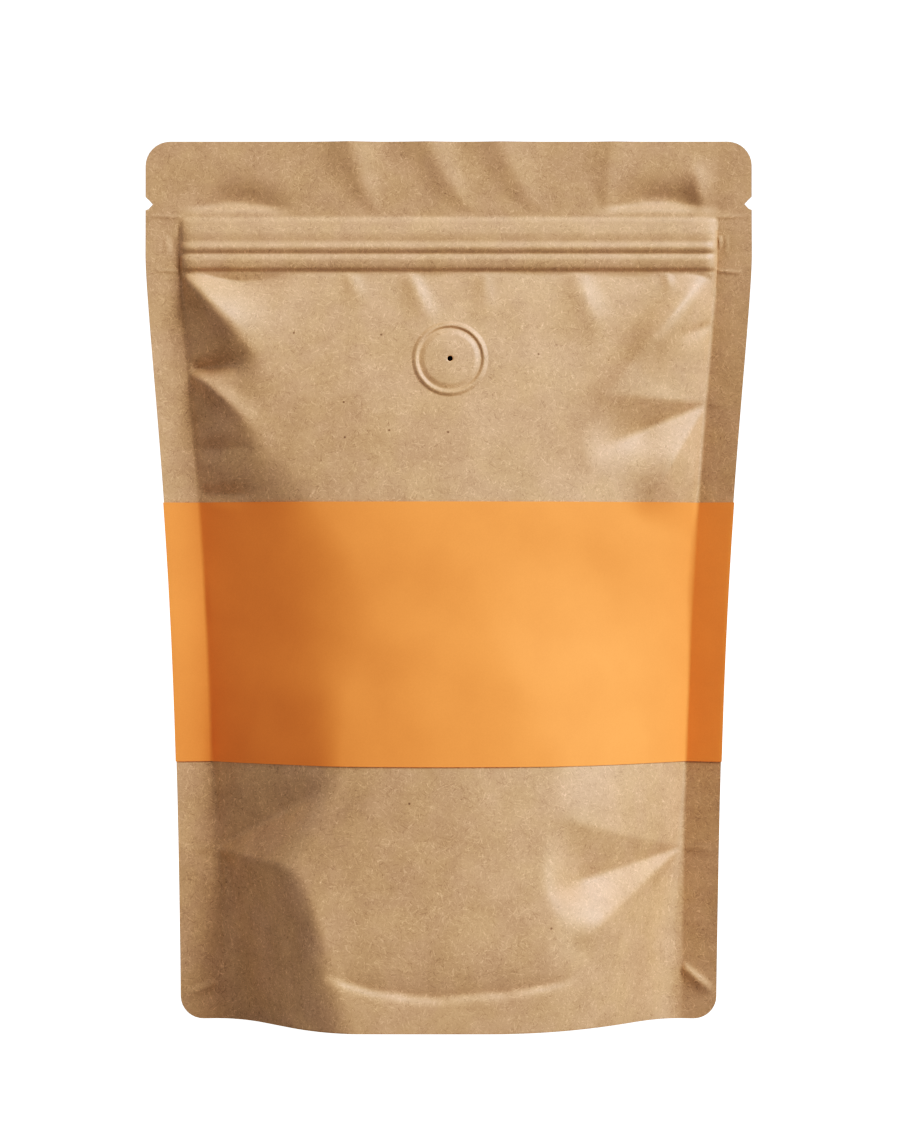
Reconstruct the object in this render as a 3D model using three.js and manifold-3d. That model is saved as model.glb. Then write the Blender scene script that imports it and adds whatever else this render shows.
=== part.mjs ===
// Kraft coffee pouch: a filled stand-up pouch with side seals, a bottom gusset, a press-to-close ridge,
// a one-way valve and a paper band wrapped round its middle.
// Millimetres. +Z is up, the front faces -Y, and the origin is on the floor under the middle of the pouch.

import Module from "manifold-3d";
import * as THREE from "three";
import { ParametricGeometry } from "three/addons/geometries/ParametricGeometry.js";
import { mergeVertices } from "three/addons/utils/BufferGeometryUtils.js";

// ---------------------------------------------------------------------------------------------------
// Driving dimensions
// ---------------------------------------------------------------------------------------------------

const POUCH_HEIGHT = 231.4;
const POUCH_WIDTH = 160; // flat width, still seen at the top
const SIDE_SEAL = 9; // width of the flat seal down each side
const SEAL_THICKNESS = 0.7; // two plies of laminate, fused
const TOP_CORNER_RADIUS = 6.5;
const FOOT_CORNER_RADIUS = 6;

// As the pouch fills, its sides draw in below this height.
const FLARE = { top: 201, inset: 9.8, reach: 83, power: 1.35 };

// Half the depth of the filled pouch: full at the floor, shut a little above the foot of the ridge.
const BULGE = { depth: 31, shutHeight: 200.5, power: 2, roundness: 0.9 };

// Shape of a level section, at heights from the floor to the ridge. From the seam the side facet starts
// this far in and climbs with this slope, up to the front, which falls away by the crown's share of the
// depth from the middle to the seam. The corners at the facet's start and edge are rounded.
const SECTIONS = [
  { height: 0, slope: 1.36, start: 6.9, startRound: 6.8, edgeRound: 14, crown: 0.03 },
  { height: 20, slope: 1.32, start: 5, startRound: 5, edgeRound: 9, crown: 0.12 },
  { height: 44, slope: 1.02, start: 1.5, startRound: 2, edgeRound: 6, crown: 0.52 },
  { height: 62, slope: 0.94, start: 0.4, startRound: 0.6, edgeRound: 5, crown: 0.58 },
  { height: 84, slope: 0.74, start: 0.1, startRound: 0.3, edgeRound: 5, crown: 0.66 },
  { height: 110, slope: 0.56, start: 0, startRound: 0.2, edgeRound: 6, crown: 0.76 },
  { height: 136, slope: 0.58, start: 0, startRound: 0.2, edgeRound: 5, crown: 0.66 },
  { height: 160, slope: 0.66, start: 0, startRound: 0.2, edgeRound: 4, crown: 0.48 },
  { height: 190, slope: 0.52, start: 0, startRound: 0.2, edgeRound: 3, crown: 0.2 },
  { height: 200, slope: 0.46, start: 0, startRound: 0.2, edgeRound: 2, crown: 0.05 },
];

// Each side seal leans forward, most of all beside the filled part, and the right one more than the left.
const LEFT_LEAN = [[0, 0.12], [40, 0.21], [150, 0.21], [196, 0.06], [215, 0], [POUCH_HEIGHT, 0]];
const RIGHT_LEAN = [[0, 0.16], [40, 0.36], [150, 0.36], [196, 0.2], [215, 0.1], [POUCH_HEIGHT, 0.1]];

// Press-to-close ridge: a flat flange with two rails, and the wavy header above it.
const RIDGE = {
  foot: 196.6,
  halfThickness: 1.7,
  flangeTop: 211.9,
  endFade: 5, // the rails run out this far from the seams
  swell: 9, // height below the foot over which the flange comes up
  runOut: 5.4, // below the flange's top, where it thins to nothing
  rails: [
    { height: 199.9, halfWidth: 2.4, rise: 0.8 },
    { height: 203.9, halfWidth: 1.9, rise: 0.7 },
  ],
};
const RIDGE_ROUND = 0.6; // rounding between the panel and the flange

// Waves of the header, which both plies share. They start a little above the flange.
const HEADER_START = 9;
const HEADER_WAVES = [
  { x: -23, halfWidth: 12, rise: 1.4 },
  { x: -1, halfWidth: 11, rise: 1.1 },
  { x: 18, halfWidth: 11, rise: 1.1 },
  { x: 43.5, halfWidth: 9, rise: 0.9 },
];

// Bottom gusset: the curved seal along the foot, and the panel that opens out between front and back.
const GUSSET = {
  sealHeight: 9.4, // at the middle of the pouch
  foldHeight: 44.4, // where its fold meets the side seams
  skirtThickness: 0.9,
  creaseDepth: 1.4, // how far the panel steps back at the seal
  creaseReach: 34, // to each side of the middle
  creaseSwell: 20, // height over which the panel swells out again
  floorHalfLength: 36, // the part that the contents press flat on the floor
  floorShare: 0.88, // of the half depth, where the flat part ends
  creaseShare: 0.12, // and where the fold's own ridge starts
  foldRise: 1.2,
  risePower: 1.7, // how the fold climbs from the flat part to the side seams
  closedGap: 0.5,
};

// One-way valve: a welded ring with a flat disc inside it and a pinhole in the middle.
const VALVE = {
  height: 173.6,
  ringRadius: 9.7,
  ringWidth: 1.8,
  ringRise: 0.5,
  crest: [0.3, 0.7], // shares of the ring's width between which it is flat
  discRise: 0.2,
  discGap: 0.9, // groove between disc and ring
  skin: 0.03,
  root: 0.8, // how deep the relief reaches into the panel
  sides: 36,
};
const PINHOLE = { radius: 0.7, depth: 1.5, sides: 12 };

const NOTCH = { height: 214.8, opening: 2.4, straight: 0.8, depth: 1.9, overrun: 2, cut: 8 };

const BAND = { bottom: 67.9, top: 136.1, gap: 0.3, thickness: 0.3 };

// Folds in the filled panels. Each runs from a point at the seam to a point on the panel, [x, height],
// stands out by rise (a hollow is negative), and spreads to a half width at its inner end.
const FRONT_FOLDS = [
  { from: [-70.5, 196.3], to: [-46, 166.5], rise: 1.9, spread: 15 },
  { from: [-68.2, 171.2], to: [-47, 172], rise: -2, spread: 8 },
  { from: [-68, 170.4], to: [-47, 151], rise: 1.6, spread: 8 },
  { from: [-66, 150.2], to: [-46, 150.6], rise: -1.2, spread: 9 },
  { from: [-61.9, 44.9], to: [-38, 54.5], rise: -1.8, spread: 8 },
  { from: [-61.9, 44.9], to: [-37, 38.7], rise: 1.4, spread: 7 },
  { from: [-57, 42], to: [-28.3, 9], rise: 0.8, spread: 8 },
  { from: [70, 196.5], to: [39, 156], rise: -1.9, spread: 14 },
  { from: [68.1, 162.2], to: [41, 147.8], rise: -2.2, spread: 9 },
  { from: [68.1, 162.2], to: [50, 137.3], rise: 1.4, spread: 8 },
  { from: [61.6, 45.2], to: [30, 35], rise: -2.6, spread: 9 },
  { from: [61.6, 45.2], to: [36, 22], rise: 1.7, spread: 8 },
];
const BACK_FOLDS = [
  { from: [-70.5, 195], to: [-46, 166], rise: 1.4, spread: 9 },
  { from: [-68, 165], to: [-44, 158], rise: -1.6, spread: 8 },
  { from: [-62, 44.4], to: [-34, 42], rise: -1.6, spread: 8 },
  { from: [70.5, 195], to: [47, 172], rise: 1.4, spread: 9 },
  { from: [68.5, 172], to: [45, 166], rise: -1.6, spread: 8 },
  { from: [66, 128], to: [44, 134], rise: -1, spread: 8 },
  { from: [62, 44.4], to: [35, 48], rise: -1.6, spread: 8 },
];

const FOLD_RUN_OUT = 4; // width beside the seam in which the folds run out
const FOLD_SEAM_WIDTH = 0.35; // share of its half width that a fold has at the seam
const FOLD_PEAK_POWER = 0.6; // below 1 puts a fold's highest point nearer to the seam

// Mesh stations
const PANEL_STEPS = 14; // from the middle to a seam
const SEAL_STEPS = 2;
const CORNER_STEPS = 4;
const LOWER_ROWS = 9; // from the foot corner to the band
const BAND_ROWS = 10;
const UPPER_ROWS = 10; // from the band to the ridge
const RIDGE_HEIGHTS = [198.2, 199.9, 201.5, 202.3, 203.9, 205.5, 207, 209.4, 211.9, 218.5];

const MERGE_TOLERANCE = 1e-4;

const FINISHES = {
  kraft: { color: 0xcda880, roughness: 0.75, metalness: 0 },
  band: { color: 0xee9c4c, roughness: 0.6, metalness: 0 },
};

// ---------------------------------------------------------------------------------------------------
// Small functions
// ---------------------------------------------------------------------------------------------------

const { clamp, lerp, smoothstep } = THREE.MathUtils;
const FRONT = -1;
const BACK = 1;

// Smallest of two numbers, with the corner between them rounded over a width.
function roundedMin(a, b, width) {
  const share = clamp(0.5 + (0.5 * (b - a)) / width, 0, 1);
  return lerp(b, a, share) - width * share * (1 - share);
}

function roundedMax(a, b, width) {
  return -roundedMin(-a, -b, width);
}

// Value at a height, eased between [height, value] stations.
function along(stations, height) {
  const last = stations.length - 1;
  if (height <= stations[0][0]) return stations[0][1];
  if (height >= stations[last][0]) return stations[last][1];
  const after = stations.findIndex(([station]) => station > height);
  const tangent = (i) => {
    const [low, high] = [stations[Math.max(i - 1, 0)], stations[Math.min(i + 1, last)]];
    return (high[1] - low[1]) / (high[0] - low[0]);
  };
  const [[z0, v0], [z1, v1]] = [stations[after - 1], stations[after]];
  const span = z1 - z0;
  const t = (height - z0) / span;
  const [t2, t3] = [t * t, t * t * t];
  return (
    v0 * (2 * t3 - 3 * t2 + 1) + v1 * (3 * t2 - 2 * t3)
    + span * (tangent(after - 1) * (t3 - 2 * t2 + t) + tangent(after) * (t3 - t2))
  );
}

// Rounded bump of height 1 at 0 that reaches nothing at a distance of 1.
function bump(distance) {
  const rest = clamp(1 - distance * distance, 0, 1);
  return rest * rest;
}

// ---------------------------------------------------------------------------------------------------
// Form of the pouch
// ---------------------------------------------------------------------------------------------------

function flareInset(z) {
  const below = Math.max(FLARE.top - z, 0) / FLARE.reach;
  return FLARE.inset * (1 - Math.exp(-Math.pow(below, FLARE.power)));
}

function seamX(z) {
  return POUCH_WIDTH / 2 - flareInset(z) - SIDE_SEAL;
}

function cornerInset(z) {
  const inset = (radius, rise) => radius - Math.sqrt(radius * radius - (radius - rise) ** 2);
  if (z < FOOT_CORNER_RADIUS) return inset(FOOT_CORNER_RADIUS, z);
  const fromTop = POUCH_HEIGHT - z;
  return fromTop < TOP_CORNER_RADIUS ? inset(TOP_CORNER_RADIUS, fromTop) : 0;
}

function edgeX(z) {
  return POUCH_WIDTH / 2 - flareInset(z) - cornerInset(z);
}

// Height of the curved seal along the foot, rising from the middle to the side seams.
function gussetSealHeight(x) {
  const share = clamp(Math.abs(x) / seamX(0), 0, 1);
  return lerp(GUSSET.foldHeight, GUSSET.sealHeight, Math.sqrt(1 - share * share));
}

function foldRise(fold, x, z) {
  const [alongX, alongZ] = [fold.to[0] - fold.from[0], fold.to[1] - fold.from[1]];
  const length = Math.hypot(alongX, alongZ);
  const [fromX, fromZ] = [x - fold.from[0], z - fold.from[1]];
  const share = (fromX * alongX + fromZ * alongZ) / (length * length);
  if (share <= 0 || share >= 1) return 0;
  const across = Math.abs(fromX * alongZ - fromZ * alongX) / length;
  const halfWidth = fold.spread * lerp(FOLD_SEAM_WIDTH, 1, share);
  const profile = clamp(1 - across / halfWidth, 0, 1) ** 2;
  return fold.rise * profile * Math.sin(Math.PI * Math.pow(share, FOLD_PEAK_POWER));
}

// Step back above the curved seal: the strip below it leans in up to the seal, and the panel swells out
// again above.
function sealCrease(x, z) {
  const seal = gussetSealHeight(x);
  const level = z < seal ? z / seal : bump((z - seal) / GUSSET.creaseSwell);
  return GUSSET.creaseDepth * level * bump(x / GUSSET.creaseReach);
}

function foldRelief(side, x, z) {
  const folds = side === FRONT ? FRONT_FOLDS : BACK_FOLDS;
  const relief = folds.reduce((sum, fold) => sum + foldRise(fold, x, z), 0);
  return relief * clamp((seamX(z) - Math.abs(x)) / FOLD_RUN_OUT, 0, 1);
}

// How far the filled panel stands out from the seal plane.
function filledDepth(side, x, z) {
  const inward = seamX(z) - Math.abs(x);
  if (z >= BULGE.shutHeight || inward <= 0) return 0;
  const section = (measure) => along(SECTIONS.map((entry) => [entry.height, entry[measure]]), z);
  const full = BULGE.depth * Math.pow(1 - Math.pow(z / BULGE.shutHeight, BULGE.power), BULGE.roundness);
  const crown = full * (1 - section("crown") * (x / seamX(z)) ** 2);
  const facet = section("slope") * roundedMax(inward - section("start"), 0, section("startRound"));
  const base = roundedMin(crown, facet, section("edgeRound"));
  return Math.max(base + foldRelief(side, x, z) - sealCrease(x, z), 0);
}

// Relief of the ridge's flange and rails, which runs out at the seams.
function ridgeDepth(x, z) {
  const ends = Math.sqrt(clamp((seamX(z) - Math.abs(x)) / RIDGE.endFade, 0, 1));
  const flange = RIDGE.halfThickness
    * smoothstep(z, RIDGE.foot - RIDGE.swell, RIDGE.foot)
    * (1 - smoothstep(z, RIDGE.flangeTop - RIDGE.runOut, RIDGE.flangeTop));
  const rails = RIDGE.rails.reduce(
    (sum, rail) => sum + rail.rise * bump((z - rail.height) / rail.halfWidth), 0);
  return ends * (flange + rails);
}

// Lean of the seals, and the waves that both plies of the header share.
function sharedShift(x, z) {
  const beyondSeam = Math.max(Math.abs(x) - seamX(z), 0);
  const inHeader = smoothstep(z, RIDGE.flangeTop, RIDGE.flangeTop + HEADER_START);
  const waves = HEADER_WAVES.reduce(
    (sum, wave) => sum + wave.rise * bump((x - wave.x) / wave.halfWidth), 0);
  const lean = along(x < 0 ? LEFT_LEAN : RIGHT_LEAN, z);
  return -lean * beyondSeam - inHeader * waves;
}

function faceY(side, x, z) {
  const depth = roundedMax(filledDepth(side, x, z), ridgeDepth(x, z), RIDGE_ROUND);
  return sharedShift(x, z) + side * (SEAL_THICKNESS / 2 + depth);
}

// ---------------------------------------------------------------------------------------------------
// Stations
// ---------------------------------------------------------------------------------------------------

function evenly(from, to, steps) {
  return Array.from({ length: steps }, (_, i) => lerp(from, to, (i + 1) / steps));
}

function arcHeights(radius, steps) {
  return Array.from({ length: steps + 1 }, (_, i) => radius * (1 - Math.cos((Math.PI / 2) * (i / steps))));
}

function rowHeights() {
  const foot = arcHeights(FOOT_CORNER_RADIUS, CORNER_STEPS);
  const top = arcHeights(TOP_CORNER_RADIUS, CORNER_STEPS).reverse().map((drop) => POUCH_HEIGHT - drop);
  return [
    ...foot,
    ...evenly(FOOT_CORNER_RADIUS, BAND.bottom, LOWER_ROWS),
    ...evenly(BAND.bottom, BAND.top, BAND_ROWS),
    ...evenly(BAND.top, RIDGE.foot, UPPER_ROWS),
    ...RIDGE_HEIGHTS,
    ...top,
  ];
}

// Columns from the left edge to the right. Each has its x at a height, grown by an amount at the edges.
function columns() {
  const panel = Array.from({ length: 2 * PANEL_STEPS + 1 }, (_, i) => (i - PANEL_STEPS) / PANEL_STEPS);
  const inSeal = Array.from({ length: SEAL_STEPS }, (_, i) => (i + 1) / SEAL_STEPS);
  const sealColumn = (sign, share) => (z, grow = 0) =>
    sign * (lerp(seamX(z), edgeX(z), share) + (share === 1 ? grow : 0));
  return [
    ...inSeal.toReversed().map((share) => sealColumn(-1, share)),
    ...panel.map((share) => (z) => share * seamX(z)),
    ...inSeal.map((share) => sealColumn(1, share)),
  ];
}

// ---------------------------------------------------------------------------------------------------
// Meshes and solids
// ---------------------------------------------------------------------------------------------------

const wasm = await Module();
wasm.setup();

// One closed surface through a grid of points. Points that coincide are joined, and what they leave of
// no area is dropped.
function closedGrid(pointAt, acrossCount, roundCount) {
  const place = (u, v, target) => {
    target.copy(pointAt(Math.round(u * acrossCount), Math.round(v * roundCount)));
  };
  const grid = new ParametricGeometry(place, acrossCount, roundCount);
  grid.deleteAttribute("normal");
  grid.deleteAttribute("uv");
  return tidied(grid);
}

function tidied(geometry) {
  const merged = mergeVertices(geometry, MERGE_TOLERANCE);
  const source = merged.index.array;
  const kept = [];
  for (let i = 0; i < source.length; i += 3) {
    const [a, b, c] = [source[i], source[i + 1], source[i + 2]];
    if (a !== b && b !== c && c !== a) kept.push(a, b, c);
  }
  merged.setIndex(signedVolume(merged, kept) < 0 ? kept.reverse() : kept);
  return merged;
}

function signedVolume(geometry, index) {
  const corners = [new THREE.Vector3(), new THREE.Vector3(), new THREE.Vector3()];
  let six = 0;
  for (let i = 0; i < index.length; i += 3) {
    corners.forEach((corner, k) => corner.fromBufferAttribute(geometry.attributes.position, index[i + k]));
    six += corners[0].dot(corners[1].cross(corners[2]));
  }
  return six / 6;
}

function toSolid(geometry) {
  return new wasm.Manifold(new wasm.Mesh({
    numProp: 3,
    vertProperties: new Float32Array(geometry.attributes.position.array),
    triVerts: new Uint32Array(geometry.index.array),
  }));
}

function toGeometry(solid) {
  const mesh = solid.getMesh();
  const geometry = new THREE.BufferGeometry();
  geometry.setAttribute("position", new THREE.BufferAttribute(mesh.vertProperties, 3));
  geometry.setIndex(new THREE.BufferAttribute(mesh.triVerts, 1));
  return geometry;
}

function plainSolid(geometry) {
  geometry.deleteAttribute("normal");
  geometry.deleteAttribute("uv");
  return toSolid(tidied(geometry));
}

// Underside of one column, from the back foot to the front one: the two skirts, the seal that joins each
// to the gusset panel, and the panel between them, which rises to its fold towards the sides.
function undersideColumn(x) {
  const sealHeight = gussetSealHeight(x);
  const gussetReach = seamX(0) - GUSSET.floorHalfLength;
  const beyondFloor = clamp((Math.abs(x) - GUSSET.floorHalfLength) / gussetReach, 0, 1);
  const rise = GUSSET.foldHeight * Math.pow(beyondFloor, GUSSET.risePower);
  const half = (side) => {
    const foot = faceY(side, x, 0);
    const wall = Math.min(side * foot, side * faceY(side, x, sealHeight)) - GUSSET.skirtThickness;
    const onPanel = (share, height) => new THREE.Vector3(x, side * wall * share, height);
    const open = [
      new THREE.Vector3(x, foot - side * GUSSET.skirtThickness, 0),
      onPanel(1, sealHeight),
      onPanel(GUSSET.floorShare, rise),
      onPanel(GUSSET.creaseShare, rise),
      onPanel(0, rise + GUSSET.foldRise),
    ];
    const shut = new THREE.Vector3(x, sharedShift(x, 0), 0);
    return wall < GUSSET.closedGap ? open.map(() => shut) : open;
  };
  return [...half(BACK), ...half(FRONT).toReversed().slice(1)];
}

function pouchBody() {
  const rows = rowHeights();
  const xAt = columns();
  const last = rows.length - 1;
  const undersides = xAt.map((x) => undersideColumn(x(0)));
  const underCount = undersides[0].length;
  const roundCount = 2 * rows.length + underCount;
  const edge = (column) => column === 0 || column === xAt.length + 1;
  const point = (across, round) => {
    const column = clamp(across - 1, 0, xAt.length - 1);
    const step = round % roundCount;
    const onUnderside = step >= 2 * rows.length;
    const row = step <= last ? step : 2 * last + 1 - step;
    const z = onUnderside ? 0 : rows[row];
    const x = xAt[column](z);
    if (edge(across)) return new THREE.Vector3(x, sharedShift(x, z), z);
    if (onUnderside) return undersides[column][step - 2 * rows.length];
    return new THREE.Vector3(x, faceY(step <= last ? FRONT : BACK, x, z), z);
  };
  return toSolid(closedGrid(point, xAt.length + 1, roundCount));
}

// Ring and disc of the valve, laid on the front face and rooted in it.
function valveRelief() {
  const { ringRadius, ringWidth, ringRise, crest, discRise, discGap, skin, root, sides } = VALVE;
  const ringInside = ringRadius - ringWidth;
  const profile = [
    [0, discRise],
    [ringInside - discGap, discRise],
    [ringInside, skin],
    [ringInside + crest[0] * ringWidth, ringRise],
    [ringInside + crest[1] * ringWidth, ringRise],
    [ringRadius, skin],
    [ringRadius, -root],
    [0, -root],
  ];
  const point = (round, step) => {
    const [radius, rise] = profile[step];
    const angle = 2 * Math.PI * ((round % sides) / sides);
    const [x, z] = [radius * Math.cos(angle), VALVE.height + radius * Math.sin(angle)];
    return new THREE.Vector3(x, faceY(FRONT, x, z) - rise, z);
  };
  return toSolid(closedGrid(point, sides, profile.length - 1));
}

function pinhole() {
  const { radius, depth, sides } = PINHOLE;
  const hole = new THREE.CylinderGeometry(radius, radius, 2 * depth, sides);
  hole.translate(0, faceY(FRONT, 0, VALVE.height) - VALVE.discRise, VALVE.height);
  return plainSolid(hole);
}

// Tear notch in one side seal: straight sides that run to a point.
function tearNotch(sign) {
  const edge = edgeX(NOTCH.height);
  const half = NOTCH.opening / 2;
  const outside = edge + NOTCH.overrun;
  const outline = new THREE.Shape([
    new THREE.Vector2(outside, -half),
    new THREE.Vector2(outside, half),
    new THREE.Vector2(edge - NOTCH.straight, half),
    new THREE.Vector2(edge - NOTCH.depth, 0),
    new THREE.Vector2(edge - NOTCH.straight, -half),
  ]);
  const cutter = new THREE.ExtrudeGeometry(outline, { depth: NOTCH.cut, bevelEnabled: false });
  cutter.rotateX(Math.PI / 2);
  cutter.translate(0, NOTCH.cut / 2, NOTCH.height);
  if (sign < 0) cutter.rotateZ(Math.PI);
  return plainSolid(cutter);
}

function pouchGeometry() {
  const solid = pouchBody()
    .add(valveRelief())
    .subtract(pinhole())
    .subtract(tearNotch(1))
    .subtract(tearNotch(-1));
  return toGeometry(solid);
}

// Paper band: a thin sleeve that follows the front, the seals' edges and the back.
function bandGeometry() {
  const rows = [BAND.bottom, ...evenly(BAND.bottom, BAND.top, BAND_ROWS)];
  const xAt = columns();
  const ringCount = 2 * xAt.length;
  const sectionCount = 2 * rows.length;
  const point = (across, round) => {
    const step = across % ringCount;
    const onFront = step < xAt.length;
    const column = onFront ? step : ringCount - 1 - step;
    const turn = round % sectionCount;
    const inside = turn < rows.length;
    const z = rows[inside ? turn : sectionCount - 1 - turn];
    const away = BAND.gap + (inside ? 0 : BAND.thickness);
    const side = onFront ? FRONT : BACK;
    return new THREE.Vector3(xAt[column](z, away), faceY(side, xAt[column](z), z) + side * away, z);
  };
  return closedGrid(point, ringCount, sectionCount);
}

function part(name, geometry, finish) {
  const mesh = new THREE.Mesh(geometry, new THREE.MeshStandardMaterial(finish));
  mesh.name = name;
  return mesh;
}

const group = new THREE.Group();
group.add(part("pouch", pouchGeometry(), FINISHES.kraft));
group.add(part("label_band", bandGeometry(), FINISHES.band));

export default group;
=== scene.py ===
"""Looks of a filled kraft stand-up pouch with a plain paper band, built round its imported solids.

Sizes are in millimetres and become metres when a mesh is made. Only the studio's are in metres. The front
faces -Y and +Z is up.
"""

import logging
import math
from collections.abc import Sequence
from dataclasses import dataclass
from enum import Enum

import bmesh
import bpy
import numpy as np
import numpy.typing as npt
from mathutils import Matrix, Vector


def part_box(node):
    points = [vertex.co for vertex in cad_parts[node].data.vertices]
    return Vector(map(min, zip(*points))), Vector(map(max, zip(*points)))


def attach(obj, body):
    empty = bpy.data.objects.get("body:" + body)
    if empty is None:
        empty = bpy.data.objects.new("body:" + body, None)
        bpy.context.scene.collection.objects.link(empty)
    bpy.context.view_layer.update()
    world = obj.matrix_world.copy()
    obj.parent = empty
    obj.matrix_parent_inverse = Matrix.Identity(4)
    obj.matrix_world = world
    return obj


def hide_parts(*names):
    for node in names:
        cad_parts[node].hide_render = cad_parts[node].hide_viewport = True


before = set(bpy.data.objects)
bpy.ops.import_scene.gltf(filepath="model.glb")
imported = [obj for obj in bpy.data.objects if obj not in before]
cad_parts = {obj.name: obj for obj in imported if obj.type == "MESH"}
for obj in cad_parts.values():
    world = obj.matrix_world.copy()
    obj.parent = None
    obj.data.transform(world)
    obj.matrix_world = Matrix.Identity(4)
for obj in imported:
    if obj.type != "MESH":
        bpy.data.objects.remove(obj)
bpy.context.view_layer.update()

MM = 0.001
WELD = 2e-6  # points nearer than this, in metres, become one
SLACK = 1e-9  # share of a step that is taken for rounding
HALFWAY = 0.5
SHARP_ANGLE = 55.0  # degrees between faces from which an edge stays sharp
NOISE_MIDDLE = (0.3, 0.7)  # where most of a noise pattern's values lie
WHITE = (1.0, 1.0, 1.0, 1.0)
ALL_COLOURS = 3  # the tone curve that works on red, green and blue alike

FloatArray = npt.NDArray[np.float64]
Point = tuple[float, float]
Inputs = dict[str | int, object]
Socket = bpy.types.NodeSocket

log = logging.getLogger("pouch")


class Side(Enum):
    """The two panels of the pouch."""

    FRONT = -1
    BACK = 1


# ----------------------------------------------------------------------------------------------
# Small functions
# ----------------------------------------------------------------------------------------------


def clamp01(value: FloatArray) -> FloatArray:
    """The value, held between 0 and 1."""
    return np.clip(value, 0.0, 1.0)


def rounded_min(a: FloatArray, b: FloatArray | float, width: FloatArray | float) -> FloatArray:
    """Smaller of two numbers, with the corner between them rounded over a width."""
    share = clamp01(0.5 + 0.5 * (b - a) / width)
    return b + (a - b) * share - width * share * (1 - share)


def rounded_max(a: FloatArray, b: FloatArray | float, width: FloatArray | float) -> FloatArray:
    """Larger of two numbers, with the corner between them rounded over a width."""
    return -rounded_min(-a, -b, width)


def smooth_step(value: FloatArray, low: float, high: float) -> FloatArray:
    """Eases from 0 at the low value to 1 at the high one."""
    share = clamp01((value - low) / (high - low))
    return share * share * (3 - 2 * share)


def bump(distance: FloatArray) -> FloatArray:
    """Rounded bump of height 1 at 0 that reaches nothing at a distance of 1."""
    rest = clamp01(1 - distance * distance)
    return rest * rest


def along(stations: Sequence[Point], height: FloatArray) -> FloatArray:
    """Value at a height, eased between stations.

    Args:
        stations: Height and value of each station, lowest first.
        height: Heights to work out the value at.

    Returns:
        The value at each height, held constant beyond the end stations.
    """
    heights = np.array([station[0] for station in stations])
    values = np.array([station[1] for station in stations])
    last = len(stations) - 1
    before = np.maximum(np.arange(last + 1) - 1, 0)
    after = np.minimum(np.arange(last + 1) + 1, last)
    tangents = (values[after] - values[before]) / (heights[after] - heights[before])
    held = np.clip(height, heights[0], heights[-1])
    index = np.clip(np.searchsorted(heights, held, side="right") - 1, 0, last - 1)
    span = heights[index + 1] - heights[index]
    t = (held - heights[index]) / span
    t2 = t * t
    t3 = t2 * t
    return (
        values[index] * (2 * t3 - 3 * t2 + 1)
        + values[index + 1] * (3 * t2 - 2 * t3)
        + span * (tangents[index] * (t3 - 2 * t2 + t) + tangents[index + 1] * (t3 - t2))
    )


# ----------------------------------------------------------------------------------------------
# Relief
# ----------------------------------------------------------------------------------------------


@dataclass(frozen=True)
class Fold:
    """A ridge, or with a negative rise a hollow, that runs across a panel from start to end.

    Its middle bows out to the left of the way it runs. It is narrow at its start, and rounded over a width
    along its line. The spreads are its half widths at the end, to the left and to the right. Unless its end
    is open, it runs out over the last part of its length.
    """

    start: Point
    end: Point
    rise: float
    spreads: tuple[float, float]
    bow: float = 0.0
    rounding: float = 0.6
    narrow: float = 0.35
    peak_power: float = 0.6
    open_end: bool = False
    run_out_from: float = 0.6

    def relief(self, x: FloatArray, z: FloatArray) -> FloatArray:
        """Works out how far the fold stands out.

        Args:
            x: X of the points.
            z: Heights of the points.

        Returns:
            The rise at each point.
        """
        run_x = self.end[0] - self.start[0]
        run_z = self.end[1] - self.start[1]
        length = math.hypot(run_x, run_z)
        from_x = x - self.start[0]
        from_z = z - self.start[1]
        share = clamp01((from_x * run_x + from_z * run_z) / length**2)
        across = (run_x * from_z - run_z * from_x) / length - 4 * self.bow * share * (1 - share)
        reach = self.narrow + (1 - self.narrow) * share
        spread = np.where(across > 0, self.spreads[0], self.spreads[1]) * reach
        away = np.hypot(across, self.rounding) - self.rounding
        profile = clamp01(1 - away / spread) ** 2
        half_turns = 0.5 if self.open_end else 1.0
        lift = np.sin(math.pi * half_turns * share**self.peak_power)
        run_out = 1.0 if self.open_end else 1 - smooth_step(share, self.run_out_from, 1.0)
        return self.rise * profile * lift * run_out


@dataclass(frozen=True)
class Pinch:
    """A point on a seam from which ridges and hollows fan out.

    Each ray is an angle in degrees, anticlockwise from +X, and the slope at which the panel climbs along it.
    The first and the last ray have no slope. The rays are softened over some degrees, and the fan is full up
    to a share of its reach.
    """

    apex: Point
    reach: float
    rays: tuple[Point, ...]
    softness: float
    full_share: float

    def relief(self, x: FloatArray, z: FloatArray) -> FloatArray:
        """Works out how far the fan stands out.

        Args:
            x: X of the points.
            z: Heights of the points.

        Returns:
            The rise at each point.
        """
        from_x = x - self.apex[0]
        from_z = z - self.apex[1]
        radius = np.hypot(from_x, from_z)
        middle = (self.rays[0][0] + self.rays[-1][0]) / 2
        angle = (np.degrees(np.arctan2(from_z, from_x)) - middle + 180) % 360 - 180 + middle
        slope = np.zeros_like(radius)
        for ray_angle, bend in self._bends():
            slope += bend * rounded_max(angle - ray_angle, 0.0, self.softness)
        fade = 1 - smooth_step(radius, self.full_share * self.reach, self.reach)
        return radius * slope * fade

    def _bends(self) -> list[Point]:
        """Works out where the slope's rate of change turns.

        Returns:
            The angle of each ray, and how much the rate turns there.
        """
        rays = sorted(self.rays)
        rates = [0.0]
        for (angle0, slope0), (angle1, slope1) in zip(rays, rays[1:]):
            rates.append((slope1 - slope0) / (angle1 - angle0))
        rates.append(0.0)
        return [(ray[0], after - before) for ray, before, after in zip(rays, rates, rates[1:])]


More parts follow.
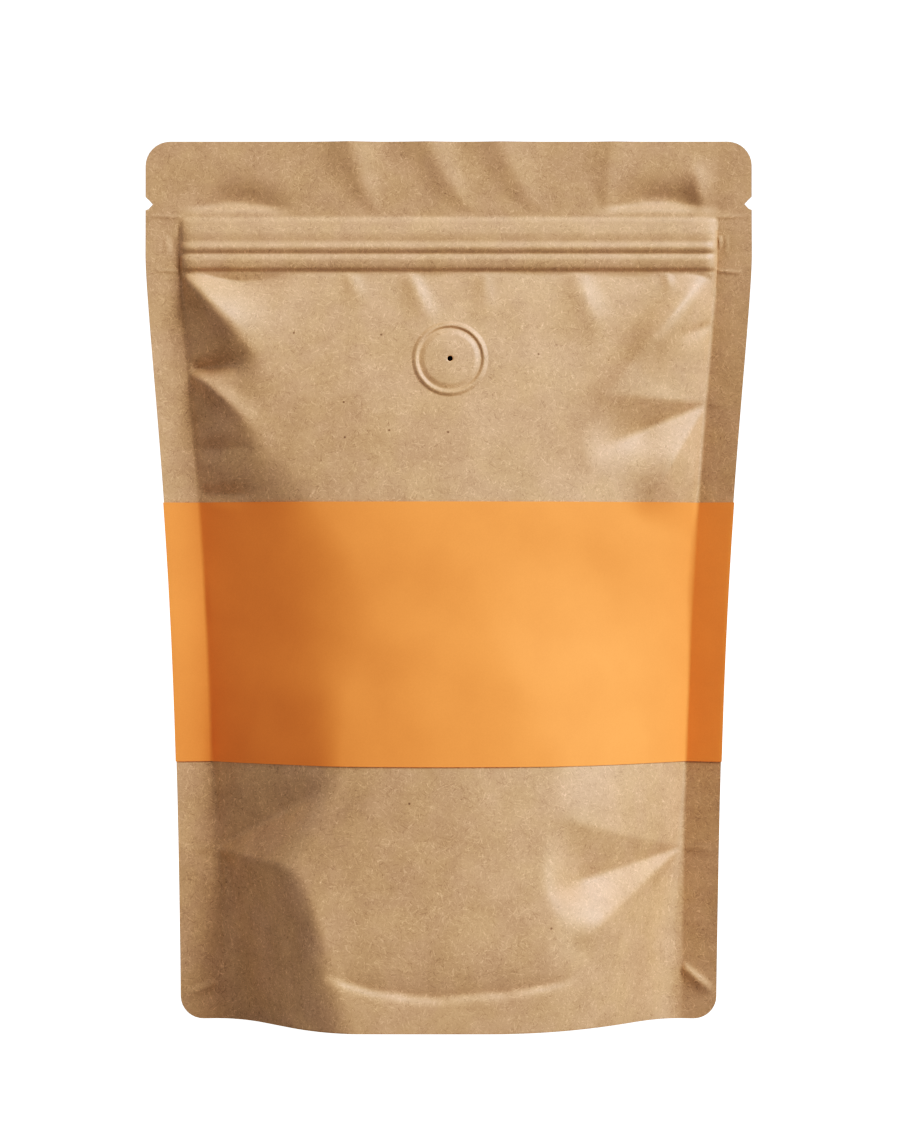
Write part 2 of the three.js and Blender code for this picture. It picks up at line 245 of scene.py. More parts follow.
@dataclass(frozen=True)
class ArchedHollow:
    """A hollow along an arch, with its half widths above and below its deepest line."""

    middle: float
    half_width: float
    foot: float
    height: float
    depth: float
    above: float
    below: float
    rounding: float = 1.4
    end_share: float = 0.85

    def relief(self, x: FloatArray, z: FloatArray) -> FloatArray:
        """Works out how far the hollow sets the paper back.

        Args:
            x: X of the points.
            z: Heights of the points.

        Returns:
            The rise at each point, which is negative.
        """
        share = (x - self.middle) / self.half_width
        offset = z - self.foot - self.height * (1 - share**2)
        spread = np.where(offset > 0, self.above, self.below)
        away = np.hypot(offset, self.rounding) - self.rounding
        return -self.depth * clamp01(1 - away / spread) ** 2 * bump(share * self.end_share)


@dataclass(frozen=True)
class Undulation:
    """Soft unevenness of filled paper: a few long waves in seeded directions."""

    seed: int
    count: int
    wavelengths: tuple[float, float]
    amplitude: float

    def relief(self, x: FloatArray, z: FloatArray) -> FloatArray:
        """Works out how far the paper stands out.

        Args:
            x: X of the points.
            z: Heights of the points.

        Returns:
            The rise at each point.
        """
        draw = np.random.default_rng(self.seed)
        total = np.zeros_like(x)
        for _ in range(self.count):
            turn = draw.uniform(0, 2 * math.pi)
            wavelength = draw.uniform(*self.wavelengths)
            phase = draw.uniform(0, 2 * math.pi)
            wave = 2 * math.pi / wavelength
            total += np.sin(wave * (x * math.cos(turn) + z * math.sin(turn)) + phase)
        return total * self.amplitude / math.sqrt(self.count)


def header_fold(
    start: Point, end: Point, rise: float, spreads: Point, bow: float, peak_power: float = 0.9
) -> Fold:
    """A soft fold that starts as a point at the ridge and grows up to the header's top edge."""
    soft = {"rounding": 1.4, "narrow": 0.12, "open_end": True}
    return Fold(start, end, rise, spreads, bow, peak_power=peak_power, **soft)


def seal_mark(start: Point, end: Point, rise: float, spreads: Point) -> Fold:
    """A fine fold of one width in a flat side seal."""
    return Fold(start, end, rise, spreads, rounding=0.2, narrow=1.0)


# ----------------------------------------------------------------------------------------------
# Form of the pouch
# ----------------------------------------------------------------------------------------------


@dataclass(frozen=True)
class Section:
    """A level section of the filled panels, at a height.

    From the seam the side facet starts this far in and climbs with this slope, up to the front, which falls
    away by the crown's share of the depth from the middle to the seam. The corners where the facet starts and
    where it meets the front are rounded over widths.
    """

    height: float
    slope: float
    start: float
    start_round: float
    edge_round: float
    crown: float


@dataclass(frozen=True)
class PouchForm:
    """Sizes of the pouch, and where each point of its surface is."""

    height: float
    width: float
    side_seal: float = 9.0
    seal_thickness: float = 0.34
    top_corner: float = 6.5
    foot_corner: float = 6.0

    # The sides draw in below this height, by up to the inset.
    flare_top: float = 201.0
    flare_inset: float = 9.8
    flare_reach: float = 83.0
    flare_power: float = 1.35

    # The filled panels, which meet at the shut height.
    bulge_depth: float = 31.0
    shut_height: float = 200.5
    bulge_power: float = 2.0
    bulge_roundness: float = 0.9

    sections: tuple[Section, ...] = (
        Section(0, 1.36, 6.9, 6.8, 13, 0.03),
        Section(20, 1.32, 5, 5, 6, 0.12),
        Section(44, 1.02, 1.5, 2, 3.5, 0.52),
        Section(62, 0.94, 0.4, 0.6, 3.5, 0.58),
        Section(84, 0.74, 0.1, 0.3, 4, 0.66),
        Section(110, 0.56, 0, 0.2, 4.5, 0.76),
        Section(136, 0.58, 0, 0.2, 4, 0.66),
        Section(160, 0.66, 0, 0.2, 3, 0.48),
        Section(190, 0.52, 0, 0.2, 1.6, 0.2),
        Section(200, 0.46, 0, 0.2, 1, 0.05),
    )
    # Height of each station, and how much the seal there leans to the front on its way out.
    left_lean: tuple[Point, ...] = ((0, 0.12), (40, 0.21), (150, 0.21), (196, 0.06), (215, 0))
    right_lean: tuple[Point, ...] = ((0, 0.16), (40, 0.36), (150, 0.36), (196, 0.2), (215, 0.1), (231, 0.1))

    # The curved seal along the foot, and the crease that it bites into the front.
    seal_height: float = 9.4
    fold_height: float = 44.4
    crease_depth: float = 0.3
    crease_reach: float = 35.0
    crease_full: float = 24.5
    crease_swell: float = 20.0
    crease_bite: float = 1.1
    crease_lip: float = 2.4
    crease_fall: float = 8.0
    crease_wobble: tuple[Point, ...] = ((6.1, 0.35), (2.7, 0.18), (1.3, 0.08))

    # How much softer than the left facet's edge the right one's is.
    soft_right: float = 2.2

    # The press-to-close ridge, as the height of each station and how far it stands out there.
    ridge_foot: float = 196.6
    ridge_end: float = 3.4
    ridge_round: float = 0.35
    ridge: tuple[Point, ...] = (
        (186.0, 0.0),
        (191.0, 0.9),
        (196.4, 1.66),
        (197.0, 1.7),
        (197.4, 1.95),
        (197.8, 2.25),
        (198.4, 2.42),
        (199.3, 2.5),
        (200.2, 2.46),
        (201.0, 2.16),
        (201.5, 1.92),
        (201.8, 1.9),
        (202.5, 2.26),
        (203.1, 2.4),
        (203.6, 2.32),
        (204.5, 1.9),
        (205.1, 1.74),
        (206.0, 1.72),
        (207.2, 1.6),
        (209.6, 0.95),
        (210.4, 0.68),
        (211.4, 0.15),
        (211.9, 0.0),
    )
    header_zone: Point = (211.4, 214.9)

    # Tear notches in both edges.
    notch_height: float = 214.8
    notch_opening: float = 2.4
    notch_straight: float = 0.8
    notch_depth: float = 1.9

    # Where the relief runs out: at the seams, towards the foot, under the ridge and beside the seals.
    fold_run_out: float = 1.5
    relief_foot: Point = (-4.0, 12.0)
    relief_top: Point = (195.1, 198.1)
    seal_zone: Point = (-0.6, 0.4)

    front_pinches: tuple[Pinch, ...] = (
        Pinch((-70.5, 196.6), 30, ((8, 0), (-4, -0.14), (-46, 0.1), (-90, 0)), 5, 0.25),
        Pinch((70.4, 196.6), 34, ((-176, 0), (-132, 0.13), (-92, 0)), 5, 0.4),
        Pinch((68.1, 162.2), 36, ((-184, 0), (-157, -0.2), (-122, 0.16), (-92, 0)), 2, 0.45),
        Pinch((61.6, 45.2), 38, ((-196, 0), (-165, -0.2), (-142, 0.1), (-127, 0.02), (-92, 0)), 2, 0.7),
    )
    facet_pinches: tuple[Pinch, ...] = (
        Pinch((-61.9, 44.9), 60, ((70, 0), (29, -0.18), (-9, 0.2), (-42, -0.05), (-70, 0)), 3, 0.35),
        Pinch((-70.5, 196.6), 44, ((20, 0), (-34, 0.14), (-62, 0.03), (-90, 0)), 5, 0.5),
        Pinch((-68.2, 171.4), 40, ((74, 0), (12, -0.24), (-40, 0.1), (-88, 0)), 5, 0.4),
    )
    front_folds: tuple[Fold, ...] = (
        Fold((-70.5, 196.3), (-44.0, 165.0), 2.3, (30, 12), bow=2.0, rounding=1.2),
        Fold((-68.2, 171.2), (-50.0, 172.2), -1.8, (8, 6)),
        Fold((-68.0, 170.4), (-47.0, 151.0), 1.2, (7, 8), bow=1.0),
        Fold((-66.0, 150.2), (-46.0, 150.6), -1.0, (8, 12)),
        Fold((-66.2, 139.0), (-48.0, 137.6), -1.0, (5, 6)),
        Fold((-10.7, 197), (-3.5, 180), 0.9, (6, 9)),
        Fold((32.9, 197), (41, 176), 0.8, (9, 12), rounding=1.5),
        Fold((-26.9, 197), (-22, 186), 0.6, (7, 6)),
        Fold((9.1, 197), (10, 182), 0.45, (6, 6)),
        Fold((57.0, 197), (59, 190), 0.4, (4, 3)),
        Fold((69.5, 197.0), (26.0, 142.0), 2.6, (16, 13), bow=-1.0, rounding=1.5, peak_power=0.9),
        Fold((70.2, 183.4), (58.5, 178.6), -0.5, (4, 3)),
        Fold((-60.5, 43.5), (-24.0, 4.0), 0.5, (6, 9), bow=2.5, rounding=0.5, peak_power=1.0),
        Fold((-54.3, 29.1), (-32.3, 13.8), 0.25, (2.5, 2.5)),
        Fold((-60.6, 43.0), (-59.8, 8.0), -0.9, (1.4, 2.0), rounding=0.3, narrow=1.0, peak_power=0.5),
    )
    header_folds: tuple[Fold, ...] = (
        header_fold((-19.1, 212.3), (-27.0, 237.0), 1.5, (14, 12), 1.0),
        header_fold((6.2, 212.6), (-7.5, 237.0), 1.2, (13, 11), 1.5),
        header_fold((24.4, 212.6), (12.5, 237.0), 1.1, (11, 15), 2.0),
        header_fold((41.9, 212.6), (45.0, 237.0), 0.9, (10, 9), 1.0, peak_power=0.8),
        Fold((67.6, 210.5), (63.5, 230.0), 0.8, (6, 5), rounding=1.0, narrow=0.6, peak_power=0.9),
    )
    seal_folds: tuple[Fold, ...] = (
        seal_mark((-70.9, 206.8), (-70.7, 199.2), 0.4, (0.9, 0.9)),
        seal_mark((-72.8, 206.4), (-72.6, 200.2), -0.18, (0.8, 0.8)),
        seal_mark((-74.5, 206.6), (-74.3, 200.0), 0.22, (0.9, 0.9)),
        seal_mark((71.5, 206.4), (71.3, 202.4), 0.4, (0.9, 0.9)),
        seal_mark((73.3, 206.6), (73.1, 200.4), 0.2, (0.8, 0.8)),
        seal_mark((-70.5, 211.4), (-80.5, 211.7), 0.16, (0.7, 0.9)),
        seal_mark((-70.5, 197.0), (-79.5, 197.4), 0.18, (0.7, 0.9)),
        seal_mark((70.5, 211.4), (80.5, 211.6), 0.16, (0.9, 0.7)),
        seal_mark((70.5, 197.2), (79.5, 196.4), 0.22, (0.9, 0.7)),
        seal_mark((68.2, 162.3), (76.5, 161.2), 0.16, (0.9, 0.9)),
        seal_mark((-61.8, 44.9), (-71.0, 44.4), 0.2, (1.0, 1.2)),
        seal_mark((61.8, 45.2), (71.0, 44.6), 0.2, (1.2, 1.0)),
        Fold((-61.0, 9.6), (-71.4, 5.6), 0.7, (2.2, 1.6), rounding=0.3, narrow=0.8),
        Fold((61.6, 14.0), (71.4, 5.8), 0.8, (1.6, 4.0), rounding=0.4, narrow=0.7),
    )
    header_hollows: tuple[ArchedHollow, ...] = (
        ArchedHollow(-56.0, 15.0, 211.6, 4.2, 1.6, 7.5, 4.2),
        ArchedHollow(55.5, 18.0, 211.6, 4.6, 1.7, 7.0, 4.2),
    )
    front_waves: Undulation = Undulation(11, 14, (18.0, 46.0), 0.15)
    back_waves: Undulation = Undulation(12, 14, (18.0, 46.0), 0.14)
    back_folds: tuple[Fold, ...] = (
        Fold((-70.5, 195), (-46, 166), 1.4, (10, 8)),
        Fold((-68, 165), (-44, 158), -1.6, (8, 8)),
        Fold((-62, 44.4), (-34, 42), -1.6, (8, 8)),
        Fold((70.5, 195), (47, 172), 1.4, (8, 10)),
        Fold((68.5, 172), (45, 166), -1.6, (8, 8)),
        Fold((66, 128), (44, 134), -1.0, (8, 8)),
        Fold((62, 44.4), (35, 48), -1.6, (8, 8)),
    )

    def flare(self, z: FloatArray) -> FloatArray:
        """How far each side has drawn in at a height."""
        below = np.maximum(self.flare_top - z, 0) / self.flare_reach
        return self.flare_inset * (1 - np.exp(-(below**self.flare_power)))

    def seam_x(self, z: FloatArray) -> FloatArray:
        """Distance of the side seams from the middle plane."""
        return self.width / 2 - self.flare(z) - self.side_seal

    def edge_x(self, z: FloatArray) -> FloatArray:
        """Distance of the pouch's outer edges from the middle plane, with round corners and notches."""
        return self.width / 2 - self.flare(z) - self._corner_inset(z) - self._notch(z)

    def _corner_inset(self, z: FloatArray) -> FloatArray:
        """Works out how far the round corners draw the edge in.

        Args:
            z: Heights of the points.

        Returns:
            The inset at each height.
        """
        foot = np.clip(self.foot_corner - z, 0, self.foot_corner)
        top = np.clip(z - self.height + self.top_corner, 0, self.top_corner)
        return (
            self.foot_corner
            - np.sqrt(self.foot_corner**2 - foot**2)
            + self.top_corner
            - np.sqrt(self.top_corner**2 - top**2)
        )

    def _notch(self, z: FloatArray) -> FloatArray:
        """Works out the depth of the tear notches.

        Args:
            z: Heights of the points.

        Returns:
            The depth at each height.
        """
        half = self.notch_opening / 2
        away = np.abs(z - self.notch_height)
        taper = self.notch_straight + (self.notch_depth - self.notch_straight) * (1 - away / half)
        return np.where(away < half, taper, 0.0)

    def gusset_seal_height(self, x: FloatArray) -> FloatArray:
        """Height of the curved seal along the foot, rising from the middle to the side seams."""
        share = clamp01(np.abs(x) / self.seam_x(np.zeros(1)))
        return self.fold_height + (self.seal_height - self.fold_height) * np.sqrt(1 - share**2)

    def _section(self, name: str, z: FloatArray) -> FloatArray:
        """One measure of the level sections at a height."""
        return along([(entry.height, getattr(entry, name)) for entry in self.sections], z)

    def _seal_crease(self, x: FloatArray, z: FloatArray) -> FloatArray:
        """Works out the step back at the curved seal, below which the strip leans in.

        Args:
            x: X of the points.
            z: Heights of the points.

        Returns:
            How far the panel is set back at each point.
        """
        wobble = sum(rise * np.sin(x / length) for length, rise in self.crease_wobble)
        seal = self.gusset_seal_height(x) + wobble
        offset = z - seal
        broad = self.crease_depth * np.where(offset < 0, z / seal, bump(offset / self.crease_swell))
        sharp_reach = np.where(offset < 0, self.crease_lip, self.crease_fall)
        sharp = self.crease_bite * clamp01(1 - np.abs(offset) / sharp_reach) ** 2
        return (broad + sharp) * (1 - smooth_step(np.abs(x), self.crease_full, self.crease_reach))

    def _relief(self, side: Side, x: FloatArray, z: FloatArray) -> FloatArray:
        """Adds up a filled panel's folds, pinches and unevenness, which run out at the seams.

        Args:
            side: The panel.
            x: X of the points.
            z: Heights of the points.

        Returns:
            The rise at each point.
        """
        if side is Side.FRONT:
            elements = (*self.front_pinches, *self.front_folds, self.front_waves)
        else:
            elements = (*self.back_folds, self.back_waves)
        total = sum(element.relief(x, z) for element in elements)
        inward = self.seam_x(z) - np.abs(x)
        below_ridge = 1 - smooth_step(z, *self.relief_top)
        above_foot = smooth_step(z, *self.relief_foot)
        return total * clamp01(inward / self.fold_run_out) * below_ridge * above_foot

    def filled_depth(self, side: Side, x: FloatArray, z: FloatArray) -> FloatArray:
        """Works out how far the filled panel stands out from the seal plane.

        Args:
            side: The panel.
            x: X of the points.
            z: Heights of the points.

        Returns:
            The depth at each point.
        """
        seam = self.seam_x(z)
        inward = np.maximum(seam - np.abs(x), 0)
        share = clamp01(z / self.shut_height)
        full = self.bulge_depth * (1 - share**self.bulge_power) ** self.bulge_roundness
        crown = full * (1 - self._section("crown", z) * (x / seam) ** 2)
        started = rounded_max(inward - self._section("start", z), 0.0, self._section("start_round", z))
        facet = self._section("slope", z) * started
        if side is Side.FRONT:
            facet = facet + sum(pinch.relief(x, z) for pinch in self.facet_pinches)
        edge_round = self._section("edge_round", z) * np.where(x > 0, self.soft_right, 1.0)
        base = rounded_min(crown, facet, edge_round)
        depth = base + self._relief(side, x, z) - self._seal_crease(x, z)
        return np.where((z >= self.shut_height) | (inward <= 0), 0.0, np.maximum(depth, 0.0))

    def ridge_depth(self, x: FloatArray, z: FloatArray) -> FloatArray:
        """Relief of the press-to-close ridge, which runs out at the seams."""
        inward = clamp01((self.seam_x(z) - np.abs(x)) / self.ridge_end)
        return np.sqrt(inward * (2 - inward)) * along(self.ridge, z)

    def shared_shift(self, x: FloatArray, z: FloatArray) -> FloatArray:
        """Works out what both plies share: the seals' lean and marks, and the header's waves.

        Args:
            x: X of the points.
            z: Heights of the points.

        Returns:
            How far each point is moved along Y.
        """
        beyond = np.maximum(np.abs(x) - self.seam_x(z), 0)
        lean = np.where(x < 0, along(self.left_lean, z), along(self.right_lean, z))
        in_header = smooth_step(z, *self.header_zone)
        header = (*self.header_folds, *self.header_hollows)
        waves = sum(element.relief(x, z) for element in header)
        marks = sum(fold.relief(x, z) for fold in self.seal_folds)
        in_seal = smooth_step(np.abs(x) - self.seam_x(z), *self.seal_zone)
        return -lean * beyond - in_header * waves - in_seal * marks

    def face_y(self, side: Side, x: FloatArray, z: FloatArray) -> FloatArray:
        """Where a panel's outer surface is, as its Y."""
        depth = rounded_max(self.filled_depth(side, x, z), self.ridge_depth(x, z), self.ridge_round)
        return self.shared_shift(x, z) + side.value * (self.seal_thickness / 2 + depth)


# ----------------------------------------------------------------------------------------------
# Mesh helpers
# ----------------------------------------------------------------------------------------------


def spaced(start: float, end: float, step: float) -> FloatArray:
    """Even stations from start to end, without the start, at most a step apart."""
    count = max(1, math.ceil(abs(end - start) / step - SLACK))
    return start + (end - start) * np.arange(1, count + 1) / count


def grid_mesh(bm: bmesh.types.BMesh, points: FloatArray) -> list[list[bmesh.types.BMVert]]:
    """Lays a grid through rows of points.

    Args:
        bm: The mesh that gets the grid.
        points: Rows of columns of points, in millimetres.

    Returns:
        The vertices, as rows of columns.
    """
    rows, columns = points.shape[:2]
    made = bmesh.ops.create_grid(bm, x_segments=columns - 1, y_segments=rows - 1, size=1.0)
    lattice: list[list[bmesh.types.BMVert]] = [[None] * columns for _ in range(rows)]
    for vert in made["verts"]:
        column = round((vert.co.x + 1) / 2 * (columns - 1))
        row = round((vert.co.y + 1) / 2 * (rows - 1))
        lattice[row][column] = vert
        vert.co = points[row, column] * MM
    return lattice


def edges_among(bm: bmesh.types.BMesh, verts: Sequence[bmesh.types.BMVert]) -> list[bmesh.types.BMEdge]:
    """Edges that have both ends among some vertices, in the mesh's own order."""
    chosen = set(verts)
    return [edge for edge in bm.edges if edge.verts[0] in chosen and edge.verts[1] in chosen]


def finished_object(bm: bmesh.types.BMesh, name: str) -> bpy.types.Object:
    """Makes a smooth-shaded object at the origin from a bmesh, and frees the bmesh.

    Args:
        bm: The finished mesh.
        name: The object's name.

    Returns:
        The new object.
    """
    mesh = bpy.data.meshes.new(name)
    bm.to_mesh(mesh)
    bm.free()
    mesh.shade_smooth()
    mesh.set_sharp_from_angle(angle=math.radians(SHARP_ANGLE))
    made = bpy.data.objects.new(name, mesh)
    bpy.context.scene.collection.objects.link(made)
    return made


# ----------------------------------------------------------------------------------------------
# Finishes
# ----------------------------------------------------------------------------------------------


class NodeTree:
    """A material's nodes, with short ways to add and join them."""

    def __init__(self, name: str) -> None:
        """Starts a material with a principled shader.

        Args:
            name: The material's name.
        """
        self.material = bpy.data.materials.new(name)
        self.material.use_nodes = True
        self.nodes = self.material.node_tree.nodes
        self.links = self.material.node_tree.links
        self.shader = self.nodes["Principled BSDF"]

    def add(self, kind: str, inputs: Inputs | None = None, **settings: object) -> bpy.types.Node:
        """Adds a node.

        Args:
            kind: The node's type name.
            inputs: Values or sockets for its inputs, by name or number.
            **settings: Properties of the node.

        Returns:
            The new node.
        """
        node = self.nodes.new(kind)
        for key, value in settings.items():
            setattr(node, key, value)
        for key, value in (inputs or {}).items():
            self.feed(node, key, value)
        return node

    def feed(self, node: bpy.types.Node, key: str | int, value: object) -> None:
        """Joins a socket to a node's input, or sets the input's value.

        Args:
            node: The node.
            key: The input's name or number.
            value: The socket or the value.
        """
        if isinstance(value, bpy.types.NodeSocket):
            self.links.new(value, node.inputs[key])
        else:
            node.inputs[key].default_value = value

    def math(self, operation: str, a: object, b: object) -> Socket:
        """Result of a sum on two values or sockets."""
        return self.add("ShaderNodeMath", {0: a, 1: b}, operation=operation).outputs[0]

    def vector_math(self, operation: str, *values: object) -> bpy.types.Node:
        """Node with the result of a sum on vectors."""
        return self.add("ShaderNodeVectorMath", dict(enumerate(values)), operation=operation)

    def ramp(self, value: object, span: Point, to_span: Point = (0.0, 1.0)) -> Socket:
        """Maps a value smoothly from one range to another.

        Args:
            value: The socket to map.
            span: Lowest and highest value to map.
            to_span: What those two values become.

        Returns:
            The mapped value.
        """
        names = ("From Min", "From Max", "To Min", "To Max")
        inputs = {"Value": value, **dict(zip(names, (*span, *to_span)))}
        node = self.add("ShaderNodeMapRange", inputs, interpolation_type="SMOOTHSTEP")
        return node.outputs["Result"]

    def noise(self, vector: object, scale: float, detail: float, distortion: float = 0.0) -> Socket:
        """Value of a noise pattern."""
        inputs = {"Vector": vector, "Scale": scale, "Detail": detail, "Distortion": distortion}
        return self.add("ShaderNodeTexNoise", inputs).outputs["Fac"]

    def place(self) -> Socket:
        """Place on the object that is dressed."""
        return self.add("ShaderNodeTexCoord").outputs["Object"]

    def paint(self, colour: object, value: Socket) -> None:
        """Colours the shader with a colour, made lighter and darker by a value."""
        self.feed(self.shader, "Base Color", self.vector_math("MULTIPLY", colour, value).outputs[0])

    def roughen(self, height: Socket, strength: float, distance: float) -> None:
        """Gives the shader a fine relief that is this many metres high."""
        inputs = {"Strength": strength, "Distance": distance, "Height": height}
        self.feed(self.shader, "Normal", self.add("ShaderNodeBump", inputs).outputs[0])


@dataclass(frozen=True)
class KraftPaper:
    """Brown kraft paper with fine fibres, specks and a slight sheen."""

    name: str = "kraft_paper"
    colour: tuple[float, float, float] = (0.515, 0.329, 0.201)
    roughness: float = 0.48
    fibre_turns: tuple[float, ...] = (8, 41, 77, 112, 149)
    fibre_size: tuple[float, float, float] = (2.0, 1.0, 0.26)
    fibre_curl: float = 0.35
    fibre_detail: float = 1.0
    fibre_edge: Point = (0.65, 0.73)
    fibre_light: float = 0.24
    fibre_dark: float = 0.17
    dark_shift: float = 0.37
    dark_turn: float = 18.5
    grain_scale: float = 2600
    grain_detail: float = 3.0
    grain_spread: Point = (0.25, 0.75)
    grain: float = 0.05
    mottle_scale: float = 150
    mottle_detail: float = 4.0
    mottle: float = 0.06
    tint: tuple[float, float, float] = (0.0, 0.0015, -0.004)
    tint_scale: float = 110
    tint_detail: float = 3.0
    tint_spread: Point = (0.35, 0.65)
    relief_strength: float = 0.35
    relief_height: float = 0.00004
    relief_fibres: float = 0.5
    speck_radius: float = 0.42
    speck_core: float = 0.4
    speck_shade: float = 0.45
    specks: tuple[Point, ...] = (
        (-40.5, 180.5),
        (-17.6, 180.0),
        (-27.3, 162.1),
        (-27.0, 152.9),
        (-15.4, 154.7),
        (-0.1, 154.2),
        (23.6, 174.8),
        (-10.0, 58.6),
        (26.3, 26.8),
    )

    def material(self) -> bpy.types.Material:
        """Makes the finish as a material.

        Returns:
            The new material.
        """
        tree = NodeTree(self.name)
        place = tree.place()
        light = self._fibres(tree, place, 0.0, 0.0)
        dark = self._fibres(tree, place, self.dark_shift, self.dark_turn)
        grain = tree.noise(place, self.grain_scale, self.grain_detail)
        mottle = tree.noise(place, self.mottle_scale, self.mottle_detail)
        value = tree.math("MULTIPLY", light, self.fibre_light)
        value = tree.math("SUBTRACT", value, tree.math("MULTIPLY", dark, self.fibre_dark))
        value = tree.math("ADD", value, tree.ramp(grain, self.grain_spread, (-self.grain, self.grain)))
        value = tree.math("ADD", value, tree.ramp(mottle, NOISE_MIDDLE, (-self.mottle, self.mottle)))
        value = tree.math("ADD", value, 1.0)
        value = tree.math("MULTIPLY", value, self._speck_mask(tree, place))
        drift = tree.noise(place, self.tint_scale, self.tint_detail)
        hue = tree.ramp(drift, self.tint_spread, (-1.0, 1.0))
        tree.paint(tree.vector_math("MULTIPLY_ADD", self.tint, hue, self.colour).outputs[0], value)
        tree.feed(tree.shader, "Roughness", self.roughness)
        fibres = tree.math("MULTIPLY", tree.math("SUBTRACT", light, dark), self.relief_fibres)
        tree.roughen(tree.math("ADD", grain, fibres), self.relief_strength, self.relief_height)
        return tree.material

    def _fibres(self, tree: NodeTree, place: Socket, shift: float, extra_turn: float) -> Socket:
        """Lays thin fibres in several directions.

        Args:
            tree: The material's nodes.
            place: Place on the object.
            shift: How far the whole pattern is moved.
            extra_turn: How far each layer is turned from its own direction, in degrees.

        Returns:
            How many fibres lie at each point.
        """
        total: object = 0.0
        size = [measure * MM for measure in self.fibre_size]
        for turn in self.fibre_turns:
            mapping = {
                "Vector": place,
                "Location": (shift, shift * turn, shift),
                "Rotation": (0.0, math.radians(turn + extra_turn), 0.0),
                "Scale": size,
            }
            turned = tree.add("ShaderNodeMapping", mapping, vector_type="TEXTURE").outputs[0]
            fibres = tree.noise(turned, 1.0, self.fibre_detail, self.fibre_curl)
            total = tree.math("ADD", total, tree.ramp(fibres, self.fibre_edge))
        return total

    def _speck_mask(self, tree: NodeTree, place: Socket) -> Socket:
        """Marks the dark specks.

        Args:
            tree: The material's nodes.
            place: Place on the object.

        Returns:
            1 on the paper, and less on its specks.
        """
        parts = tree.add("ShaderNodeSeparateXYZ", {0: place})
        flat = tree.add("ShaderNodeCombineXYZ", {0: parts.outputs[0], 2: parts.outputs[2]}).outputs[0]
        radius = self.speck_radius * MM
        mask: object = 1.0
        for x, z in self.specks:
            gap = tree.vector_math("DISTANCE", flat, (x * MM, 0.0, z * MM)).outputs["Value"]
            spot = tree.ramp(gap, (self.speck_core * radius, radius), (self.speck_shade, 1.0))
            mask = tree.math("MULTIPLY", mask, spot)
        return mask


@dataclass(frozen=True)
class BandPaper:
    """Smooth orange label paper."""

    name: str = "band_paper"
    colour: tuple[float, float, float] = (0.838, 0.312, 0.113)
    roughness: float = 0.68
    gloss: float = 0.15
    cloud_scale: float = 70
    cloud_detail: float = 3.0
    cloud: float = 0.025
    grain_scale: float = 2600
    grain_detail: float = 2.0
    grain: float = 0.015
    relief_strength: float = 0.12
    relief_height: float = 0.00003

    def material(self) -> bpy.types.Material:
        """Makes the finish as a material.

        Returns:
            The new material.
        """
        tree = NodeTree(self.name)
        place = tree.place()
        cloud = tree.noise(place, self.cloud_scale, self.cloud_detail)
        grain = tree.noise(place, self.grain_scale, self.grain_detail)
        value = tree.ramp(cloud, NOISE_MIDDLE, (1 - self.cloud, 1 + self.cloud))
        value = tree.math("ADD", value, tree.ramp(grain, NOISE_MIDDLE, (-self.grain, self.grain)))
        tree.paint(self.colour, value)
        tree.feed(tree.shader, "Roughness", self.roughness)
        tree.feed(tree.shader, "Specular IOR Level", self.gloss)
        tree.roughen(grain, self.relief_strength, self.relief_height)
        return tree.material


@dataclass(frozen=True)
class PaintedHoleShade:
    """Near-black colour inside the valve's pinhole: the valve's dark inside, and painted shade deep in the
    hole.
    """

    name: str = "pinhole_painted_shade"
    colour: tuple[float, float, float] = (0.018, 0.012, 0.009)
    roughness: float = 0.7
    grain_scale: float = 3000
    grain_detail: float = 2.0
    grain_span: Point = (0.7, 1.3)

    def material(self) -> bpy.types.Material:
        """Makes the finish as a material.

        Returns:
            The new material.
        """
        tree = NodeTree(self.name)
        grain = tree.noise(tree.place(), self.grain_scale, self.grain_detail)
        tree.paint(self.colour, tree.ramp(grain, NOISE_MIDDLE, self.grain_span))
        tree.feed(tree.shader, "Roughness", self.roughness)
        return tree.material


# ----------------------------------------------------------------------------------------------
# Pieces
# ----------------------------------------------------------------------------------------------


@dataclass(frozen=True)
class Columns:
    """Columns of a mesh from the left edge of the pouch to the right, finer beside the seams."""

    form: PouchForm
    middle_reach: float = 36.0
    middle_step: float = 1.3
    side_step: float = 0.62
    seal_step: float = 0.45

    def shares(self) -> tuple[FloatArray, FloatArray]:
        """Works out the columns' places, which are the same at every height.

        Returns:
            The share of the panel's half width, and of the seal's width, at which each column is.
        """
        seam = self.form.width / 2 - self.form.side_seal
        middle = spaced(0, self.middle_reach, self.middle_step)
        sides = spaced(self.middle_reach, seam, self.side_step)
        panel = np.concatenate([middle, sides]) / seam
        seal = spaced(0, 1, self.seal_step / self.form.side_seal)
        half_panel = np.concatenate([panel, np.ones_like(seal)])
        half_seal = np.concatenate([np.zeros_like(panel), seal])
        both_panel = np.concatenate([-half_panel[::-1], [0.0], half_panel])
        both_seal = np.concatenate([-half_seal[::-1], [0.0], half_seal])
        return both_panel, both_seal

    def x_at(self, z: FloatArray) -> FloatArray:
        """Works out where the columns are.

        Args:
            z: Heights of the rows.

        Returns:
            The X of every column at each height, as rows of columns.
        """
        panel, seal = self.shares()
        seam = self.form.seam_x(z)[:, None]
        edge = self.form.edge_x(z)[:, None]
        return panel * seam + seal * (edge - seam)


